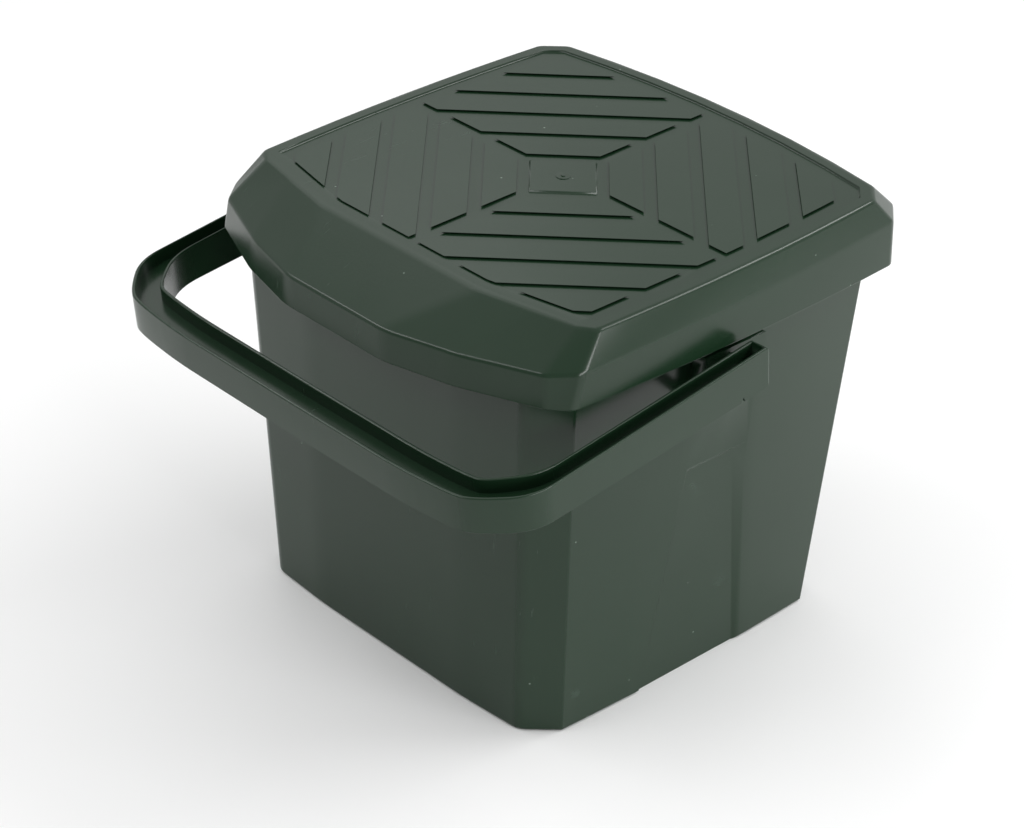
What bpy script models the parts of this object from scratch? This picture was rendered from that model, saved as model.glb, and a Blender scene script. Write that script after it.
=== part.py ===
"""Portable camp toilet: a tapered bucket, a lift-off seat and lid, and a bail handle.

Metres, +Z up. The front, where the lid's prow and the handle's bar are, faces -Y.
The origin is the middle of the bucket's base, on the floor, right under the middle
of the lid's pattern.
"""

import math

import bmesh
import bpy

GAP = 0.0003  # between pieces that touch

# Bucket: plan sizes at the floor and at SPAN_HEIGHT; the walls are straight between.
SPAN_HEIGHT = 0.250
SIDE_X = (0.1307, 0.1404)
SIDE_BOW = 0.0028
FRONT_Y = (-0.1288, -0.1500)
FRONT_FACET_X = 0.066
FRONT_CHAMFER_END = ((0.1126, -0.1256), (0.1210, -0.1476))
FRONT_CHAMFER_SIDE_Y = (-0.1051, -0.1254)
BACK_CHAMFER_SIDE_Y = (0.1152, 0.1247)
BACK_CHAMFER_END = ((0.1126, 0.1357), (0.1210, 0.1467))
BACK_BOW = 0.0025
WALL = 0.003
BUCKET_TOP = 0.262
RIM_WIDTH = 0.0035
RIM_HEIGHT = 0.006
BASE_ROUND = 0.0015
BUCKET_SOFT = {0: 0.008, 1: 0.005, 2: 0.0012, 10: 0.0012, 11: 0.005}

# Recess in each side wall, open at the bottom: its flat floor has no bow.
RECESS_TOP = 0.157
RECESS_FRONT_Y = (-0.0405, -0.0217)
RECESS_REAR_Y = (0.0470, 0.0210)
RECESS_REAR_SLOPE = 3.0
RECESS_TOP_SLOPE = 1.0
RECESS_REACH = 0.006

# Lid: the top is a plane that rises towards the back; the skirt's lower edge is level.
LID_TOP = 0.2941
LID_RISE = 0.0285
LID_WALL = 0.0030
LID_PLATE = 0.0045
LID_SOFT = {0: 0.006, 1: 0.006, 2: 0.0025, 3: 0.0036, 11: 0.003, 12: 0.003}
TOP_ROUND = 0.0026
SHOULDER_DROP = 0.0195
SHOULDER_ROUND = 0.0020
LIP_ROUND = 0.0008
SKIRT_BOTTOM = 0.2496
TOP_HALF = ((0.067, -0.1360), (0.1015, -0.1285), (0.1335, -0.1220), (0.1445, -0.1155))
TOP_BACK = ((0.1450, 0.1205), (0.1318, 0.1350))
TOP_BOW = (0.0038, 0.0119)
SHOULDER_HALF = ((0.0415, -0.1832), (0.0870, -0.1708), (0.1375, -0.1495), (0.1510, -0.1322))
SHOULDER_BACK = ((0.1484, 0.1385), (0.1324, 0.1572))
SHOULDER_BOW = (0.0034, 0.0110)
SKIRT_HALF = ((0.0435, -0.1842), (0.0885, -0.1723), (0.1405, -0.1497), (0.1520, -0.1380))
SKIRT_BACK = ((0.1502, 0.1390), (0.1338, 0.1600))
SKIRT_BOW = (0.0044, 0.0110)

# Raised pattern on the lid: square plates on the diagonal, mitred on the X and Y axes.
RIM_BAND = 0.0085
RELIEF = 0.0013
CENTRE_HALF = 0.0286
PLATE_PITCH = 0.0407
PLATE_WIDTH = 0.0270
MITRE_HALF = 0.0044
PLATE_RINGS = 5
PLATE_MARGIN = 0.0095
PLATE_FRONT_SHIFT = -0.0045
PLATE_PROFILE = ((-0.0010, 1.10), (-0.0003, 0.84), (0.0000, 0.50), (0.0002, 0.22), (0.0006, 0.06))
PANEL_FRONT_SHIFT = (0.0045, -0.0119)
GATE_RINGS = ((0.0046, 0.0003), (0.0014, 0.0007))
GATE_SIDES = 24

# Seat: a ring that stands on the bucket's rim, with a collar down into the bucket.
SEAT_INSET = 0.0065
SEAT_TOP_DROP = LID_PLATE + GAP
SEAT_WALL = 0.003
SEAT_HOLE_HALF = (0.098, 0.118)
SEAT_HOLE_Y = -0.004
SEAT_DISH = 0.006
COLLAR_BOTTOM = 0.238
RIB_THICK = 0.003
RIB_Y = (-0.075, 0.060)
RIB_X = (-0.060, 0.060)

# Handle: two arms and a front bar of one H section, on pins in the bucket's bosses.
PIVOT_Y = -0.0118
PIVOT_Z = 0.2383
REST_TILT = math.radians(8.3)
ARM_OUTER_X = 0.1750
ARM_INNER_X = 0.1623
TAIL_BACK = -0.0125
TAIL_ROUND = 0.004
TAIL_STEPS = 5
TAIL_PINCH = (0.0010, 0.0005, 0.0001)
ARM_OPEN_FROM = 0.0065
ARM_TOP = 0.0133
ARM_HEIGHT = (0.0285, 0.0242)
OUTER_CORNER = ((0.1750, 0.1786), (0.1503, 0.2036))
INNER_CORNER = ((0.1623, 0.1590), (0.1440, 0.1835))
BAR_OUTER = (0.2112, 0.2060)
BAR_INNER = (0.1905, 0.1860)
BAR_FLAT_X = 0.100
BAR_TURN_X = 0.136
CORNER_ROUND = 0.016
CORNER_STEPS = 8
HANDLE_WALL = 0.0024
WALL_ROUND = 0.0010
FOOT_ROUND = 0.0005
WEB_DEPTH = 0.0095
WEB_THICK = 0.0025
SKIN = 0.00002
NOTCH_AT = 0.0110
NOTCH_SIZE = (0.0056, 0.0040)

# Bosses, pins and handle stops on the bucket's sides.
BOSS_Y = (-0.031, 0.021)
BOSS_Z = (0.2145, 0.2460)
BOSS_OUTER_X = 0.1535
STOP_Y = (-0.036, -0.029)
STOP_X = 0.1670
STOP_DEEP = 0.0045
PIN_RADIUS = 0.0045
PIN_HEAD_RADIUS = 0.0080
PIN_HEAD_THICK = 0.0030
PIN_END_X = 0.1705
PIN_SIDES = 24


def clear_scene():
    for old in list(bpy.data.objects):
        bpy.data.objects.remove(old)


def make_material(name, color, roughness):
    material = bpy.data.materials.new(name)
    material.use_nodes = True
    shader = material.node_tree.nodes["Principled BSDF"]
    shader.inputs["Base Color"].default_value = (*color, 1.0)
    shader.inputs["Roughness"].default_value = roughness
    shader.inputs["Metallic"].default_value = 0.0
    return material


def add_object(name, bm, material=None, sharp=30):
    """Makes an object of the bmesh, shaded smooth except across edges over sharp degrees."""
    bmesh.ops.recalc_face_normals(bm, faces=bm.faces)
    mesh = bpy.data.meshes.new(name)
    bm.to_mesh(mesh)
    bm.free()
    mesh.shade_smooth()
    mesh.set_sharp_from_angle(angle=math.radians(sharp))
    made = bpy.data.objects.new(name, mesh)
    bpy.context.scene.collection.objects.link(made)
    if material:
        mesh.materials.append(material)
    return made


def combine(target, other, operation):
    """Adds a Boolean of this object to the target, and keeps it as a hidden guide."""
    other.hide_render = True
    other.display_type = "WIRE"
    modifier = target.modifiers.new(other.name, "BOOLEAN")
    modifier.operation = operation
    modifier.solver = "EXACT"
    modifier.object = other


def lerp(ends, t):
    return ends[0] + (ends[1] - ends[0]) * t


def lerp_point(ends, t):
    return tuple(a + (b - a) * t for a, b in zip(*ends))


def bowed(start, end, bow, steps):
    """Points after start and before end on a shallow arc that stands bow out to the right."""
    dx, dy = end[0] - start[0], end[1] - start[1]
    length = math.hypot(dx, dy)
    found = []
    for i in range(1, steps):
        t = i / steps
        out = 4 * bow * t * (1 - t) / length
        found.append((start[0] + dx * t + dy * out, start[1] + dy * t - dx * out))
    return found


def whole(half):
    """Mirrors the +X half of an outline, which runs from front to back, into all of it."""
    return half + [(-x, y) for x, y in reversed(half)]


def soften(points, reaches, steps=3):
    """Replaces each corner that has a reach by a curve that starts and ends that far off."""
    made = []
    for i, here in enumerate(points):
        if not reaches[i]:
            made.append(here)
            continue
        ends = []
        for other in (points[i - 1], points[(i + 1) % len(points)]):
            part = min(reaches[i] / math.dist(here, other), 0.45)
            ends.append(lerp_point((here, other), part))
        for step in range(steps + 1):
            t = step / steps
            before = lerp_point((ends[0], here), t)
            after = lerp_point((here, ends[1]), t)
            made.append(lerp_point((before, after), t))
    return made


def soft_ring(ring, soft):
    """Softens the corners of a mirrored ring, given by their index in its +X half."""
    count = len(ring)
    return soften(ring, [soft.get(min(i, count - 1 - i), 0) for i in range(count)])


def soft_columns(rings, reaches):
    """Softens the edges along whole rings, given a reach for each ring."""
    columns = [soften(column, reaches) for column in zip(*rings)]
    return list(zip(*columns))


def front_shifted(outline, shift):
    """Moves the front edges of a lid outline along Y."""
    front = len(TOP_HALF) - 1
    count = len(outline)
    moved = [min(i, count - 1 - i) < front for i in range(count)]
    return [(x, y + shift * far) for (x, y), far in zip(outline, moved)]


def body_outline(front, back, bows, side_steps=8, back_steps=7):
    """A closed outline, counterclockwise: front points, bowed side, corner, bowed back."""
    side_bow, back_bow = bows
    half = list(front)
    half += bowed(front[-1], back[0], side_bow, side_steps)
    half += list(back)
    mirror = (-back[1][0], back[1][1])
    half += bowed(back[1], mirror, back_bow, back_steps)[: back_steps // 2]
    return whole(half)


def inset(outline, distance):
    """Moves every edge of a closed, counterclockwise outline inward by the distance."""
    moved = []
    count = len(outline)
    for i, (x, y) in enumerate(outline):
        before, after = outline[i - 1], outline[(i + 1) % count]
        ax, ay = x - before[0], y - before[1]
        bx, by = after[0] - x, after[1] - y
        an, bn = math.hypot(ax, ay), math.hypot(bx, by)
        nx, ny = -ay / an - by / bn, ax / an + bx / bn
        scale = 2 * distance / (nx * nx + ny * ny)
        moved.append((x + nx * scale, y + ny * scale))
    return moved


def level(outline, z):
    return [(x, y, z) for x, y in outline]


def lid_z(y, drop):
    """The height at y of the plane that lies drop below the lid's top."""
    return LID_TOP + LID_RISE * y - drop


def tilted(outline, drop):
    return [(x, y, lid_z(y, drop)) for x, y in outline]


def skin(bm, rings, capped=True):
    """Adds a solid skinned over rings of equal length. Uncapped, the last joins the first."""
    made = [[bm.verts.new(point) for point in ring] for ring in rings]
    count = len(made[0])
    pairs = list(zip(made, made[1:]))
    if not capped:
        pairs.append((made[-1], made[0]))
    for low, high in pairs:
        for i in range(count):
            j = (i + 1) % count
            bm.faces.new((low[i], low[j], high[j], high[i]))
    if capped:
        bm.faces.new(list(reversed(made[0])))
        bm.faces.new(made[-1])


def loft(rings, capped=True):
    bm = bmesh.new()
    skin(bm, rings, capped)
    return bm


def add_box(bm, xs, ys, zs):
    corners = [(xs[0], ys[0]), (xs[1], ys[0]), (xs[1], ys[1]), (xs[0], ys[1])]
    skin(bm, [level(corners, zs[0]), level(corners, zs[1])])


def add_turned(bm, profile, y, z, sides=PIN_SIDES):
    """Adds a solid turned about an axis along X at y, z, from (x, radius) pairs."""
    turns = [2 * math.pi * i / sides for i in range(sides)]
    rings = []
    for x, r in profile:
        rings.append([(x, y + r * math.cos(turn), z + r * math.sin(turn)) for turn in turns])
    skin(bm, rings)


# ---- Bucket ----


def side_x(z):
    return lerp(SIDE_X, z / SPAN_HEIGHT)


def bucket_outline(z, bow=SIDE_BOW, back_bow=BACK_BOW):
    t = z / SPAN_HEIGHT
    front = [
        (FRONT_FACET_X, lerp(FRONT_Y, t)),
        lerp_point(FRONT_CHAMFER_END, t),
        (side_x(z), lerp(FRONT_CHAMFER_SIDE_Y, t)),
    ]
    back = [(side_x(z), lerp(BACK_CHAMFER_SIDE_Y, t)), lerp_point(BACK_CHAMFER_END, t)]
    return body_outline(front, back, (bow, back_bow))


def inner_outline(z):
    return inset(bucket_outline(z, bow=0, back_bow=0), WALL)


def recess_ring(side, out):
    """The recess's outline at this distance outside its floor, in the plane of the wall."""
    top = RECESS_TOP + out * RECESS_TOP_SLOPE
    low = -0.001
    points = []
    for z, t in ((low, 0), (top, 1)):
        edges = (lerp(RECESS_FRONT_Y, t), lerp(RECESS_REAR_Y, t) + out * RECESS_REAR_SLOPE)
        edges = edges if t == 0 else edges[::-1]
        points += [(side * (side_x(z) + out), y, z) for y in edges]
    return points


def make_bucket(material):
    rim_low = BUCKET_TOP - RIM_HEIGHT
    rings = [
        level(inset(bucket_outline(0), BASE_ROUND), 0),
        level(bucket_outline(BASE_ROUND), BASE_ROUND),
        level(bucket_outline(rim_low), rim_low),
        level(inset(bucket_outline(rim_low), -RIM_WIDTH), rim_low),
        level(inset(bucket_outline(BUCKET_TOP), -RIM_WIDTH), BUCKET_TOP),
        level(inner_outline(BUCKET_TOP), BUCKET_TOP),
        level(inner_outline(WALL), WALL),
    ]
    rings = [soft_ring(ring, BUCKET_SOFT) for ring in rings]
    bucket = add_object("bucket", loft(rings), material)

    recesses = bmesh.new()
    for side in (-1, 1):
        skin(recesses, [recess_ring(side, 0), recess_ring(side, RECESS_REACH)])
    combine(bucket, add_object("recess_cutter", recesses), "DIFFERENCE")

    bosses = bmesh.new()
    for side in (-1, 1):
        root = side_x(BOSS_Z[0]) - WALL / 2
        xs = sorted((side * root, side * BOSS_OUTER_X))
        add_box(bosses, xs, BOSS_Y, BOSS_Z)
    combine(bucket, add_object("boss_shape", bosses), "UNION")

    stops = bmesh.new()
    top = arm_bottom_z(STOP_Y[0]) - GAP
    for side in (-1, 1):
        xs = sorted((side * (side_x(top) - WALL / 2), side * STOP_X))
        add_box(stops, xs, (STOP_Y[0], BOSS_Y[0] + 0.002), (top - STOP_DEEP, top))
    combine(bucket, add_object("stop_shape", stops), "UNION")

    holes = bmesh.new()
    for side in (-1, 1):
        ends = sorted((side * 0.125, side * (BOSS_OUTER_X + 0.002)))
        profile = [(x, PIN_RADIUS + GAP) for x in ends]
        add_turned(holes, profile, PIVOT_Y, PIVOT_Z)
    combine(bucket, add_object("pin_hole_cutter", holes), "DIFFERENCE")


# ---- Lid ----


def top_outline():
    return body_outline(TOP_HALF, TOP_BACK, TOP_BOW)


def shoulder_outline():
    return body_outline(SHOULDER_HALF, SHOULDER_BACK, SHOULDER_BOW)


def skirt_outline():
    return body_outline(SKIRT_HALF, SKIRT_BACK, SKIRT_BOW)


def clip(polygon, nx, ny, limit):
    """The part of a convex polygon where nx * x + ny * y is at most the limit."""
    kept = []
    for i, (x, y) in enumerate(polygon):
        px, py = polygon[i - 1]
        here = nx * x + ny * y - limit
        last = nx * px + ny * py - limit
        if here * last < 0:
            t = last / (last - here)
            kept.append((px + (x - px) * t, py + (y - py) * t))
        if here <= 0:
            kept.append((x, y))
    return kept


def clip_inside(polygon, outline):
    """The part of a convex polygon inside a convex, counterclockwise outline."""
    for i, (x, y) in enumerate(outline):
        px, py = outline[i - 1]
        nx, ny = y - py, px - x
        polygon = clip(polygon, nx, ny, nx * x + ny * y)
        if not polygon:
            break
    return polygon


def pattern_plates():
    """The pattern's plates as convex plan polygons: the centre square and its rings."""
    edge = CENTRE_HALF
    plates = [[(edge, 0), (0, edge), (-edge, 0), (0, -edge)]]
    border = front_shifted(inset(top_outline(), RIM_BAND + PLATE_MARGIN), PLATE_FRONT_SHIFT)
    for ring in range(1, PLATE_RINGS + 1):
        near = PLATE_PITCH * ring
        far = near + PLATE_WIDTH
        for sx, sy in ((1, 1), (-1, 1), (-1, -1), (1, -1)):
            band = [
                (sx * MITRE_HALF, sy * (near - MITRE_HALF)),
                (sx * (near - MITRE_HALF), sy * MITRE_HALF),
                (sx * (far - MITRE_HALF), sy * MITRE_HALF),
                (sx * MITRE_HALF, sy * (far - MITRE_HALF)),
            ]
            if sx * sy > 0:
                band.reverse()
            cut = clip_inside(band, border)
            if len(cut) > 2:
                plates.append(cut)
    return plates


def make_lid(material):
    top, shoulder, skirt = top_outline(), shoulder_outline(), skirt_outline()
    inner_top = inset(top, LID_WALL)
    rings = [
        tilted(inset(top, RIM_BAND), 0),
        tilted(top, 0),
        tilted(shoulder, SHOULDER_DROP),
        level(skirt, SKIRT_BOTTOM),
        level(inset(skirt, LID_WALL), SKIRT_BOTTOM),
        tilted(inset(shoulder, LID_WALL), SHOULDER_DROP + LID_WALL * 0.8),
        tilted(inner_top, LID_PLATE + LIP_ROUND),
        tilted(inset(inner_top, LIP_ROUND * 2), LID_PLATE),
    ]
    rings = [soft_ring(ring, LID_SOFT) for ring in reversed(rings)]
    rings = soft_columns(rings, [0, 0, 0, 0, LIP_ROUND, SHOULDER_ROUND, TOP_ROUND, 0])
    lid = add_object("lid", loft(rings), material)

    panel = inset(top, RIM_BAND)
    low, high = (front_shifted(panel, shift) for shift in PANEL_FRONT_SHIFT)
    sunk = bmesh.new()
    foot = RELIEF * 0.7
    floor, wall, mouth = inset(low, 0.0006), low, inset(high, -0.0006)
    skin(sunk, [tilted(floor, RELIEF), tilted(wall, foot), tilted(mouth, -0.001)])
    combine(lid, add_object("panel_cutter", sunk), "DIFFERENCE")

    plates = bmesh.new()
    for plate in pattern_plates():
        skin(plates, [tilted(inset(plate, shift), RELIEF * part) for shift, part in PLATE_PROFILE])
    combine(lid, add_object("plate_shapes", plates), "UNION")

    gate = bmesh.new()
    turns = [2 * math.pi * i / GATE_SIDES for i in range(GATE_SIDES)]
    rings = []
    for radius, height in GATE_RINGS:
        outline = [(radius * math.cos(turn), radius * math.sin(turn)) for turn in turns]
        low = 0.0005 if not rings else -GATE_RINGS[0][1]
        rings += [tilted(outline, low), tilted(outline, -height)]
    skin(gate, rings)
    combine(lid, add_object("gate_shape", gate), "UNION")


# ---- Seat ----


def hole_ring(outline, grow, heights):
    """An oval with one point for each point of the outline, at the same bearing."""
    a, b = (half + grow for half in SEAT_HOLE_HALF)
    ring = []
    for x, y in outline:
        bearing = math.atan2(y - SEAT_HOLE_Y, x)
        c, s = math.cos(bearing), math.sin(bearing)
        reach = 1 / math.hypot(c / a, s / b)
        py = SEAT_HOLE_Y + reach * s
        ring.append((reach * c, py, heights(py)))
    return ring


def make_seat(material):
    top, shoulder = inset(top_outline(), SEAT_INSET), inset(shoulder_outline(), SEAT_INSET)
    foot = BUCKET_TOP + GAP
    knee = SHOULDER_DROP + 0.0030
    under = SEAT_TOP_DROP + SEAT_WALL
    dish = SEAT_TOP_DROP + SEAT_DISH
    rings = [
        level(shoulder, foot),
        tilted(shoulder, knee),
        tilted(top, SEAT_TOP_DROP + 0.0015),
        tilted(inset(top, 0.003), SEAT_TOP_DROP),
        hole_ring(top, 0.014, lambda y: lid_z(y, SEAT_TOP_DROP + 0.0020)),
        hole_ring(top, 0.003, lambda y: lid_z(y, dish)),
        hole_ring(top, 0.0, lambda y: lid_z(y, dish + 0.003)),
        hole_ring(top, 0.0, lambda y: COLLAR_BOTTOM),
        hole_ring(top, SEAT_WALL, lambda y: COLLAR_BOTTOM),
        hole_ring(top, SEAT_WALL, lambda y: lid_z(y, dish + 0.005)),
        hole_ring(top, 0.014, lambda y: lid_z(y, under + 0.0020)),
        tilted(inset(top, 0.006), under),
        tilted(inset(shoulder, SEAT_WALL), knee + 0.0025),
        level(inset(shoulder, SEAT_WALL), foot),
    ]
    seat = add_object("seat", loft(rings, capped=False), material)

    ribs = bmesh.new()
    half = RIB_THICK / 2
    high = lid_z(-0.14, under - 0.0010)
    for y in RIB_Y:
        reach = SEAT_HOLE_HALF[0] * math.sqrt(1 - ((y - SEAT_HOLE_Y) / SEAT_HOLE_HALF[1]) ** 2)
        for side in (-1, 1):
            xs = sorted((side * (reach + 0.0025), side * 0.1400))
            add_box(ribs, xs, (y - half, y + half), (foot, high))
    for x in RIB_X:
        reach = SEAT_HOLE_HALF[1] * math.sqrt(1 - (x / SEAT_HOLE_HALF[0]) ** 2)
        add_box(ribs, (x - half, x + half), (-0.155, SEAT_HOLE_Y - reach - 0.0025), (foot, high - 0.009))
        add_box(ribs, (x - half, x + half), (SEAT_HOLE_Y + reach + 0.0025, 0.152), (foot, high))
    combine(seat, add_object("rib_shapes", ribs), "UNION")


# ---- Handle ----


def handle_height(reach):
    return lerp(ARM_HEIGHT, max(0.0, reach) / BAR_OUTER[0])


def arm_bottom_z(y):
    """The height, with the handle at rest, of the arm's lower edge at this y."""
    reach = (PIVOT_Y - y) / math.cos(REST_TILT)
    low = ARM_TOP - handle_height(reach)
    return PIVOT_Z + low / math.cos(REST_TILT) - (PIVOT_Y - y) * math.tan(REST_TILT)


def handle_side(arm_x, corner, bar):
    """The +X half of one wall's plan line as (x, reach), from the pivot to the middle."""
    points = [
        (arm_x, ARM_OPEN_FROM),
        corner[0],
        corner[1],
        (BAR_TURN_X, bar[1] + (bar[0] - bar[1]) * 0.25),
        (BAR_FLAT_X, bar[0] - 0.0006),
        (0.0, bar[0]),
    ]
    inner = len(points) - 2
    return soften(points, [0] + [CORNER_ROUND] * inner + [0], CORNER_STEPS)


def section(outer, inner, cut=0.0, has_channel=True, is_hollow_below=True):
    """The handle's H section at one station, as (x, reach, height) points.

    The cut is how far the tail's rounded end has lowered the top and raised the bottom.
    """
    dx, dy = inner[0] - outer[0], inner[1] - outer[1]
    length = math.hypot(dx, dy)
    wall, edge, foot = HANDLE_WALL, WALL_ROUND, FOOT_ROUND
    top = ARM_TOP - cut
    bottom = ARM_TOP - handle_height(outer[1]) + cut
    web = ARM_TOP - WEB_DEPTH if has_channel else top - SKIN
    lip = edge if has_channel else 0.0
    bend = 0.3
    under = ARM_TOP - WEB_DEPTH - WEB_THICK if is_hollow_below else bottom + SKIN
    half = [
        (foot, bottom),
        (0, bottom + foot),
        (0, top - edge),
        (edge * bend, top - edge * bend),
        (edge, top),
        (wall - edge, top),
        (wall - edge * bend, top - lip * bend),
        (wall, top - lip),
        (wall, web),
    ]
    lower = [(wall, under), (wall, bottom)]
    profile = [(shift, outer, height) for shift, height in half]
    profile += [(-shift, inner, height) for shift, height in reversed(half)]
    profile += [(-shift, inner, height) for shift, height in reversed(lower)]
    profile += [(shift, outer, height) for shift, height in lower]
    return [
        (base[0] + dx / length * shift, base[1] + dy / length * shift, height)
        for shift, base, height in profile
    ]


def handle_rings():
    """The H sections from the right arm's tail round to the left arm's tail."""
    rings = []
    for i in range(TAIL_STEPS + 1):
        turn = math.pi / 2 * i / TAIL_STEPS
        reach = TAIL_BACK + TAIL_ROUND * (1 - math.cos(turn))
        cut = TAIL_ROUND * (1 - math.sin(turn))
        pinch = TAIL_PINCH[i] if i < len(TAIL_PINCH) else 0.0
        ends = (ARM_OUTER_X - pinch, reach), (ARM_INNER_X + pinch, reach)
        rings.append(section(*ends, cut, False, False))
    for reach in (TAIL_BACK + TAIL_ROUND + GAP, ARM_OPEN_FROM - GAP):
        ends = (ARM_OUTER_X, reach), (ARM_INNER_X, reach)
        rings.append(section(*ends, is_hollow_below=False))
    outer = handle_side(ARM_OUTER_X, OUTER_CORNER, BAR_OUTER)
    inner = handle_side(ARM_INNER_X, INNER_CORNER, BAR_INNER)
    rings += [section(a, b) for a, b in zip(outer, inner)]
    left = [[(-x, reach, height) for x, reach, height in ring] for ring in reversed(rings[:-1])]
    return rings + left


def to_handle(points):
    """From (x, reach, height) to the handle's own axes, where it points along -Y."""
    return [(x, -reach, height) for x, reach, height in points]


def make_handle(material, pivot):
    handle = add_object("handle", loft([to_handle(ring) for ring in handle_rings()]), material)

    cuts = bmesh.new()
    for side in (-1, 1):
        ends = sorted((side * (ARM_INNER_X - 0.002), side * (PIN_END_X + GAP)))
        add_turned(cuts, [(x, PIN_RADIUS + GAP) for x in ends], 0, 0)
        wide, high = NOTCH_SIZE
        floor = ARM_TOP - handle_height(NOTCH_AT)
        notch = [
            (-NOTCH_AT - wide / 2, floor - 0.001),
            (-NOTCH_AT + wide / 2, floor - 0.001),
            (-NOTCH_AT + wide / 4, floor + high),
        ]
        xs = sorted((side * (ARM_OUTER_X - HANDLE_WALL * 1.5), side * (ARM_OUTER_X + 0.002)))
        skin(cuts, [[(x, y, z) for y, z in notch] for x in xs])
    combine(handle, add_object("handle_cutter", cuts), "DIFFERENCE")

    handle.parent = pivot
    bpy.data.objects["handle_cutter"].parent = pivot


def make_pin(name, side, material):
    """A headed pin: the head is inside the bucket and the end carries the arm."""
    wall_x = side_x(PIVOT_Z - PIN_HEAD_RADIUS) - WALL - GAP
    chamfer = 0.0006
    profile = [
        (wall_x - PIN_HEAD_THICK, PIN_HEAD_RADIUS - chamfer),
        (wall_x - PIN_HEAD_THICK + chamfer, PIN_HEAD_RADIUS),
        (wall_x, PIN_HEAD_RADIUS),
        (wall_x, PIN_RADIUS),
        (PIN_END_X - chamfer, PIN_RADIUS),
        (PIN_END_X, PIN_RADIUS - chamfer),
    ]
    bm = bmesh.new()
    add_turned(bm, [(side * x, radius) for x, radius in profile], PIVOT_Y, PIVOT_Z)
    return add_object(name, bm, material)


def main():
    clear_scene()
    green = (0.020, 0.040, 0.026)
    bucket_green = make_material("bucket_green", green, 0.38)
    lid_green = make_material("lid_green", green, 0.40)
    handle_green = make_material("handle_green", green, 0.36)
    seat_green = make_material("seat_green", green, 0.42)
    pin_green = make_material("pin_green", green, 0.45)

    make_bucket(bucket_green)
    make_lid(lid_green)
    make_seat(seat_green)
    pivot = bpy.data.objects.new("handle_pivot", None)
    bpy.context.scene.collection.objects.link(pivot)
    pivot.location = (0, PIVOT_Y, PIVOT_Z)
    pivot.rotation_euler = (REST_TILT, 0, 0)
    make_handle(handle_green, pivot)
    for name, side in (("pivot_pin_left", -1), ("pivot_pin_right", 1)):
        make_pin(name, side, pin_green)


main()
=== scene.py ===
import math

import bmesh
import bpy
from mathutils import Matrix, Vector


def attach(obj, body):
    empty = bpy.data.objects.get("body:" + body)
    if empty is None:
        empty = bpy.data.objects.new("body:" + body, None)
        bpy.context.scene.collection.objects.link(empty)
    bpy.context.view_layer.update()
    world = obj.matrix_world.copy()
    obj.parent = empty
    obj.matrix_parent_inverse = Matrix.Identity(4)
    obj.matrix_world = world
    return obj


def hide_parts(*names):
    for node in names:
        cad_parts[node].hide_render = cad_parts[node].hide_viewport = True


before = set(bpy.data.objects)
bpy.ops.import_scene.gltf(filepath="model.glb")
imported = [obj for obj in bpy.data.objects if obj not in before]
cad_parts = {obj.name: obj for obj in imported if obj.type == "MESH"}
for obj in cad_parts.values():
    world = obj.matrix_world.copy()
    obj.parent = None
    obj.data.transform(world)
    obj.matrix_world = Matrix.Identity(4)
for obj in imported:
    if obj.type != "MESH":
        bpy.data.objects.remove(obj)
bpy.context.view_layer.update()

# ---- Camera: towards the near corner, from above ----

CAMERA_AIM = Vector((-0.0078, -0.0238, 0.1306))
CAMERA_DISTANCE = 1.8262
CAMERA_AZIMUTH = math.radians(44.344)
CAMERA_ELEVATION = math.radians(30.799)
CAMERA_ROLL = math.radians(3.474)
CAMERA_LENS = 101.39


def make_camera():
    data = bpy.data.cameras.new("camera")
    data.lens = CAMERA_LENS
    camera = bpy.data.objects.new("camera", data)
    bpy.context.scene.collection.objects.link(camera)
    turn = Matrix.Rotation(CAMERA_AZIMUTH, 4, "Z")
    tip = Matrix.Rotation(math.pi / 2 - CAMERA_ELEVATION, 4, "X")
    roll = Matrix.Rotation(CAMERA_ROLL, 4, "Z")
    back = Matrix.Translation((0, 0, CAMERA_DISTANCE))
    camera.matrix_world = Matrix.Translation(CAMERA_AIM) @ turn @ tip @ back @ roll
    bpy.context.scene.camera = camera


# ---- Studio: soft boxes, a pale floor and a plain sky ----

# Each light's place, what it faces, its size in metres and its power in watts.
LIGHTS = {
    "key": ((2.10, 0.20, 0.60), (0, 0, 0.22), (1.55, 0.5), 21),
    "top": ((0.60, 1.25, 1.60), (0, 0, 0.2), (1.3, 0.5), 15),
    "side": ((-0.75, -1.15, 1.70), (0, 0, 0.2), (2.0, 0.4), 14),
    "overhead": ((-1.30, 0.60, 1.80), (0, 0, 0.2), (1.3, 1.3), 3),
}
SKY_TOWARD = (0.45, -0.89, 0.0)
SKY_FADE = (0.1, 0.85)
SKY_DIM = 0.40
SKY_BRIGHT = 0.78
FLOOR_HALF = 4.0
FLOOR_SQUARES = 4
FLOOR_WHITE = 0.90
FLOOR_ROUGHNESS = 0.9
FLOOR_SPECULAR = 0.2


def make_light(name, place, aim, size, energy):
    data = bpy.data.lights.new(name, "AREA")
    data.shape = "RECTANGLE"
    data.size, data.size_y = size
    data.energy = energy
    light = bpy.data.objects.new(name, data)
    bpy.context.scene.collection.objects.link(light)
    light.location = place
    light.rotation_euler = (Vector(aim) - Vector(place)).to_track_quat("-Z", "Y").to_euler()


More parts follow.
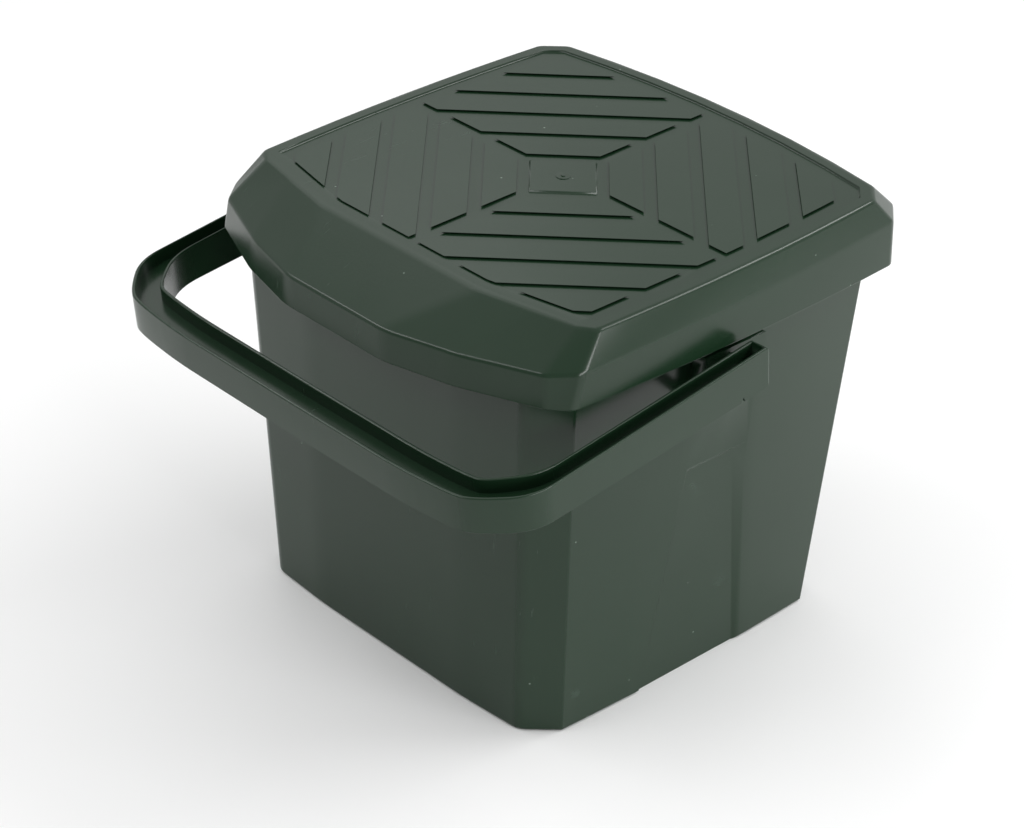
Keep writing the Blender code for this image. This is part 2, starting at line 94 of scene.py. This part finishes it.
def make_world():
    """A plain white sky that is dimmer in the SKY_TOWARD direction."""
    world = bpy.data.worlds.new("studio")
    world.use_nodes = True
    tree = world.node_tree
    place = tree.nodes.new("ShaderNodeTexCoord")
    dot = tree.nodes.new("ShaderNodeVectorMath")
    dot.operation = "DOT_PRODUCT"
    dot.inputs[1].default_value = SKY_TOWARD
    tree.links.new(place.outputs["Generated"], dot.inputs[0])
    fade = tree.nodes.new("ShaderNodeMapRange")
    fade.interpolation_type = "SMOOTHSTEP"
    fade.inputs["From Min"].default_value = SKY_FADE[0]
    fade.inputs["From Max"].default_value = SKY_FADE[1]
    fade.inputs["To Min"].default_value = SKY_BRIGHT
    fade.inputs["To Max"].default_value = SKY_DIM
    tree.links.new(dot.outputs["Value"], fade.inputs["Value"])
    background = tree.nodes["Background"]
    tree.links.new(fade.outputs["Result"], background.inputs["Strength"])
    background.inputs["Color"].default_value = (1, 1, 1, 1)
    bpy.context.scene.world = world


def make_floor():
    bm = bmesh.new()
    squares = {"x_segments": FLOOR_SQUARES, "y_segments": FLOOR_SQUARES}
    bmesh.ops.create_grid(bm, size=FLOOR_HALF, **squares)
    mesh = bpy.data.meshes.new("floor")
    bm.to_mesh(mesh)
    bm.free()
    floor = bpy.data.objects.new("floor", mesh)
    bpy.context.scene.collection.objects.link(floor)
    material = bpy.data.materials.new("floor_paper")
    material.use_nodes = True
    shader = material.node_tree.nodes["Principled BSDF"]
    shader.inputs["Base Color"].default_value = (FLOOR_WHITE, FLOOR_WHITE, FLOOR_WHITE, 1)
    shader.inputs["Roughness"].default_value = FLOOR_ROUGHNESS
    shader.inputs["Specular IOR Level"].default_value = FLOOR_SPECULAR
    mesh.materials.append(material)


# ---- Moulded plastic ----

GREEN = (0.0088, 0.0270, 0.0122)
GREEN_DEEP = (0.0075, 0.0242, 0.0107)
DRIFT = {"scale": 9, "detail": 3, "rough": 0.55}
DRIFT_CUT = (0.35, 0.65)
SCUFF = (0.060, 0.095, 0.075)
STREAK = {"scale": 30, "detail": 4, "rough": 0.6, "distortion": 0.4}
STREAK_STRETCH = (9, 1, 1)
STREAK_TURN = (0.3, 0.2, 0.6)
STREAK_CUT = (0.66, 0.74)
STREAK_MOST = 0.35
PATCH = {"scale": 7, "detail": 2, "rough": 0.5}
PATCH_CUT = (0.50, 0.66)
SPECK = (0.200, 0.260, 0.215)
SPECK_SCALE = 42
SPECK_CUT = (0.020, 0.032)
SPECK_MOST = 0.65
SMEAR = {"scale": 14, "detail": 4, "rough": 0.6}
SMEAR_CUT = (0.30, 0.70)
ROUGHNESS = (0.205, 0.255)
SCUFF_ROUGHER = 0.4
WAVE = {"scale": 16, "detail": 1, "rough": 0.5}
WAVE_HEIGHT = 0.00025
GRAIN = {"scale": 950, "detail": 2, "rough": 0.6}
GRAIN_HEIGHT = 0.00006
GRAIN_STRENGTH = 0.30
PLASTIC_IOR = 1.41


class Nodes:
    """Short calls for building one material's node tree."""

    def __init__(self, name):
        self.material = bpy.data.materials.new(name)
        self.material.use_nodes = True
        self.tree = self.material.node_tree
        self.shader = self.tree.nodes["Principled BSDF"]
        self.place = self.add("ShaderNodeTexCoord").outputs["Object"]

    def add(self, kind, **settings):
        node = self.tree.nodes.new(kind)
        for key, value in settings.items():
            setattr(node, key, value)
        return node

    def link(self, source, target):
        self.tree.links.new(source, target)

    def mapped(self, scale, turn):
        node = self.add("ShaderNodeMapping")
        node.inputs["Scale"].default_value = scale
        node.inputs["Rotation"].default_value = turn
        self.link(self.place, node.inputs["Vector"])
        return node.outputs["Vector"]

    def noise(self, scale, detail, rough, vector=None, distortion=0.0):
        node = self.add("ShaderNodeTexNoise")
        node.inputs["Scale"].default_value = scale
        node.inputs["Detail"].default_value = detail
        node.inputs["Roughness"].default_value = rough
        node.inputs["Distortion"].default_value = distortion
        self.link(vector or self.place, node.inputs["Vector"])
        return node.outputs["Fac"]

    def ramp(self, value, low, high, start=0.0, end=1.0):
        node = self.add("ShaderNodeMapRange")
        node.inputs["From Min"].default_value = low
        node.inputs["From Max"].default_value = high
        node.inputs["To Min"].default_value = start
        node.inputs["To Max"].default_value = end
        self.link(value, node.inputs["Value"])
        return node.outputs["Result"]

    def math(self, operation, first, second):
        node = self.add("ShaderNodeMath", operation=operation)
        for socket, value in zip(node.inputs, (first, second)):
            if isinstance(value, (int, float)):
                socket.default_value = value
            else:
                self.link(value, socket)
        return node.outputs["Value"]

    def mix(self, factor, first, second):
        """One colour over another. The node's colour sockets are inputs 6 and 7 and output 2."""
        node = self.add("ShaderNodeMix", data_type="RGBA")
        self.link(factor, node.inputs["Factor"])
        for socket, value in ((node.inputs[6], first), (node.inputs[7], second)):
            if isinstance(value, tuple):
                socket.default_value = (*value, 1)
            else:
                self.link(value, socket)
        return node.outputs[2]

    def bump(self, height, distance, strength=1.0, below=None):
        node = self.add("ShaderNodeBump")
        node.inputs["Strength"].default_value = strength
        node.inputs["Distance"].default_value = distance
        self.link(height, node.inputs["Height"])
        if below:
            self.link(below, node.inputs["Normal"])
        return node.outputs["Normal"]


def moulded(name):
    """Green moulded plastic: slow colour drift, fine texture, faint scuffs and pale specks."""
    n = Nodes(name)
    drift = n.ramp(n.noise(**DRIFT), *DRIFT_CUT)
    color = n.mix(drift, GREEN_DEEP, GREEN)

    streak = n.noise(vector=n.mapped(STREAK_STRETCH, STREAK_TURN), **STREAK)
    patch = n.ramp(n.noise(**PATCH), *PATCH_CUT)
    scuff = n.math("MULTIPLY", n.ramp(streak, *STREAK_CUT, 0.0, STREAK_MOST), patch)
    color = n.mix(scuff, color, SCUFF)

    cells = n.add("ShaderNodeTexVoronoi")
    cells.inputs["Scale"].default_value = SPECK_SCALE
    n.link(n.place, cells.inputs["Vector"])
    speck = n.ramp(cells.outputs["Distance"], *SPECK_CUT, SPECK_MOST, 0.0)
    color = n.mix(speck, color, SPECK)
    n.link(color, n.shader.inputs["Base Color"])

    rough = n.ramp(n.noise(**SMEAR), *SMEAR_CUT, *ROUGHNESS)
    rough = n.math("ADD", rough, n.math("MULTIPLY", scuff, SCUFF_ROUGHER))
    n.link(rough, n.shader.inputs["Roughness"])

    slow = n.bump(n.noise(**WAVE), WAVE_HEIGHT)
    grain = n.bump(n.noise(**GRAIN), GRAIN_HEIGHT, GRAIN_STRENGTH, slow)
    n.link(grain, n.shader.inputs["Normal"])
    n.shader.inputs["IOR"].default_value = PLASTIC_IOR
    return n.material


# ---- Pieces: each CAD node's shape, welded, edge-rounded and smoothly shaded ----

WELD = 0.000005  # points this near each other become one
FLAT = math.radians(0.4)  # faces that turn by less become one
SHARP = math.radians(40)  # an edge that turns by more isn't shaded smoothly
HANDLE_SHARP = math.radians(50)  # wider, to take in the steps of the handle's small fillets
ROUNDING = {"bucket": 0.0008, "seat": 0.0005}
ROUNDING_STEPS = 3
ROUNDING_ROOM = 2.5  # an edge is rounded if its faces' sides are all this many widths long
NORMAL_WEIGHT = 60
BODY_OF = {
    "bucket": "bucket",
    "lid": "lid",
    "seat": "seat",
    "handle": "handle",
    "pivot_pin_left": "bucket",
    "pivot_pin_right": "bucket",
}


def welded(node, rounding, sharp):
    """A new mesh with the node's shape, its flat faces whole and its long sharp edges marked."""
    bm = bmesh.new()
    bm.from_mesh(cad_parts[node].data)
    bmesh.ops.remove_doubles(bm, verts=bm.verts, dist=WELD)
    bmesh.ops.dissolve_limit(bm, angle_limit=FLAT, verts=bm.verts, edges=bm.edges)
    weight = bm.edges.layers.float.new("bevel_weight_edge")
    room = rounding * ROUNDING_ROOM
    for edge in bm.edges:
        sides = [side for face in edge.link_faces for side in face.edges]
        has_room = min(side.calc_length() for side in sides) > room
        edge[weight] = float(has_room and edge.calc_face_angle(0.0) > sharp)
    mesh = bpy.data.meshes.new(node + "_shell")
    bm.to_mesh(mesh)
    bm.free()
    return mesh


def rounded(mesh, rounding):
    """The mesh with its marked edges rounded."""
    draft = bpy.data.objects.new(mesh.name + "_draft", mesh)
    bpy.context.scene.collection.objects.link(draft)
    if rounding:
        bevel = draft.modifiers.new("round", "BEVEL")
        bevel.width = rounding
        bevel.segments = ROUNDING_STEPS
        bevel.limit_method = "WEIGHT"
        bevel.use_clamp_overlap = False
    graph = bpy.context.evaluated_depsgraph_get()
    done = bpy.data.meshes.new_from_object(draft.evaluated_get(graph))
    bpy.data.objects.remove(draft)
    return done


def make_piece(node, material):
    rounding = ROUNDING.get(node, 0.0)
    sharp = HANDLE_SHARP if node == "handle" else SHARP
    mesh = rounded(welded(node, rounding, sharp), rounding)
    mesh.shade_smooth()
    mesh.set_sharp_from_angle(angle=sharp)
    mesh.materials.clear()
    mesh.materials.append(material)

    piece = bpy.data.objects.new(node + "_shell", mesh)
    bpy.context.scene.collection.objects.link(piece)
    weighted = piece.modifiers.new("normals", "WEIGHTED_NORMAL")
    weighted.keep_sharp = True
    weighted.weight = NORMAL_WEIGHT
    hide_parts(node)
    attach(piece, BODY_OF[node])


make_camera()
make_world()
make_floor()
for name, settings in LIGHTS.items():
    make_light(name, *settings)
bpy.context.scene.view_settings.view_transform = "Standard"

for node in BODY_OF:
    make_piece(node, moulded(node + "_plastic"))
